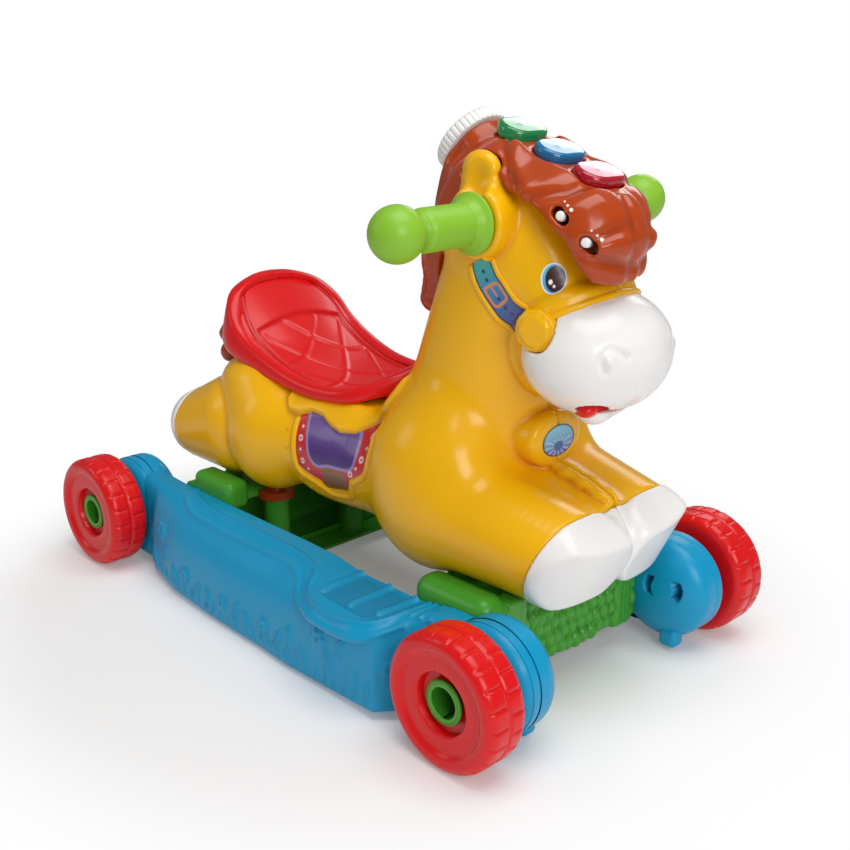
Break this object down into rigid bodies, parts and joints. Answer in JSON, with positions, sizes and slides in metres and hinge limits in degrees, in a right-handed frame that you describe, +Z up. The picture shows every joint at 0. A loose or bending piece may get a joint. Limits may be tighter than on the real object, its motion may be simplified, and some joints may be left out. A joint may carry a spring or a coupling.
{
  "type": "ride-on pony on wheels",
  "caption": "Moulded ride-on toy pony with saddle and handle grips, fixed on curved rails with free-rolling wheels, with push buttons, a dial and slide switches on its head.",
  "frame": {"origin": "on the floor under the middle of the overall box", "axes": "+X forward towards the nose, +Y to the pony's left, +Z up"},
  "size_m": [0.624, 0.366, 0.4717],
  "materials": {
    "yellow": "glossy",
    "red": "glossy",
    "blue": "satin",
    "leaf": "satin",
    "lime": "satin",
    "brown": "glossy",
    "white": "satin",
    "clear_green": "glossy",
    "clear_blue": "glossy",
    "clear_red": "glossy",
    "steel": "satin",
    "print": "satin",
    "dome_rubber": "matte",
    "board": "matte",
    "black": "matte",
    "cell": "satin",
    "wire": "matte"
  },
  "bodies": {
    "pony": {"body_right_shell": "yellow", "body_left_shell": "yellow", "battery_door": "yellow", "saddle": "red", "tongue": "red", "right_rail": "blue", "left_rail": "blue", "right_rail_cover": "blue", "left_rail_cover": "blue", "front_cross_beam": "leaf", "rear_cross_beam": "leaf", "front_right_axle": "leaf", "front_left_axle": "leaf", "rear_right_axle": "leaf", "rear_left_axle": "leaf", "right_grip": "lime", "left_grip": "lime", "mane": "brown", "tail": "brown", "post_collars": "brown", "front_right_hoof": "white", "front_left_hoof": "white", "rear_right_hoof": "white", "rear_left_hoof": "white", "muzzle": "white", "dial_pin": "white", "button_guide": "white", "beam_screws": "steel", "body_screws": "steel", "deck_screws": "steel", "handlebar_tube": "steel", "right_eye": "print", "left_eye": "print", "right_strap_label": "print", "left_strap_label": "print", "right_flap_label": "print", "left_flap_label": "print", "chest_badge": "print", "button_domes": "dome_rubber", "circuit_board": "board", "switch_bodies": "black", "battery_box": "black", "speaker": "black", "battery_cells": "cell", "wire_loom": "wire"},
    "front_right_wheel": {"front_right_wheel": "red"},
    "front_left_wheel": {"front_left_wheel": "red"},
    "rear_right_wheel": {"rear_right_wheel": "red"},
    "rear_left_wheel": {"rear_left_wheel": "red"},
    "green_button": {"green_button": "clear_green"},
    "blue_button": {"blue_button": "clear_blue"},
    "red_button": {"red_button": "clear_red"},
    "dial": {"dial": "white"},
    "volume_knob": {"volume_knob": "white"},
    "mode_knob": {"mode_knob": "white"}
  },
  "joints": [
    {"name": "front_right_wheel_spin", "type": "hinge", "parent": "pony", "child": "front_right_wheel", "pos_m": [0.256, -0.163, 0.056], "axis": [0, 1, 0], "continuous": true},
    {"name": "front_left_wheel_spin", "type": "hinge", "parent": "pony", "child": "front_left_wheel", "pos_m": [0.256, 0.163, 0.056], "axis": [0, 1, 0], "continuous": true},
    {"name": "rear_right_wheel_spin", "type": "hinge", "parent": "pony", "child": "rear_right_wheel", "pos_m": [-0.256, -0.163, 0.056], "axis": [0, 1, 0], "continuous": true},
    {"name": "rear_left_wheel_spin", "type": "hinge", "parent": "pony", "child": "rear_left_wheel", "pos_m": [-0.256, 0.163, 0.056], "axis": [0, 1, 0], "continuous": true},
    {"name": "green_button_press", "type": "slide", "parent": "pony", "child": "green_button", "axis": [-0.3518, 0, -0.9361], "range_m": [0, 0.0025], "stiffness_N_per_m": 400, "springref_m": -0.001, "deforming": ["button_domes"]},
    {"name": "blue_button_press", "type": "slide", "parent": "pony", "child": "blue_button", "axis": [-0.3518, 0, -0.9361], "range_m": [0, 0.0025], "stiffness_N_per_m": 400, "springref_m": -0.001, "deforming": ["button_domes"]},
    {"name": "red_button_press", "type": "slide", "parent": "pony", "child": "red_button", "axis": [-0.3518, 0, -0.9361], "range_m": [0, 0.0025], "stiffness_N_per_m": 400, "springref_m": -0.001, "deforming": ["button_domes"]},
    {"name": "dial_turn", "type": "hinge", "parent": "pony", "child": "dial", "pos_m": [0.116, 0, 0.4385], "axis": [-0.788, 0, 0.6157], "continuous": true},
    {"name": "volume_slide", "type": "slide", "parent": "pony", "child": "volume_knob", "axis": [0.7615, 0.1549, -0.6293], "range_m": [-0.004, 0.004]},
    {"name": "mode_slide", "type": "slide", "parent": "pony", "child": "mode_knob", "axis": [0.7615, 0.1549, -0.6293], "range_m": [0, 0.006]}
  ]
}
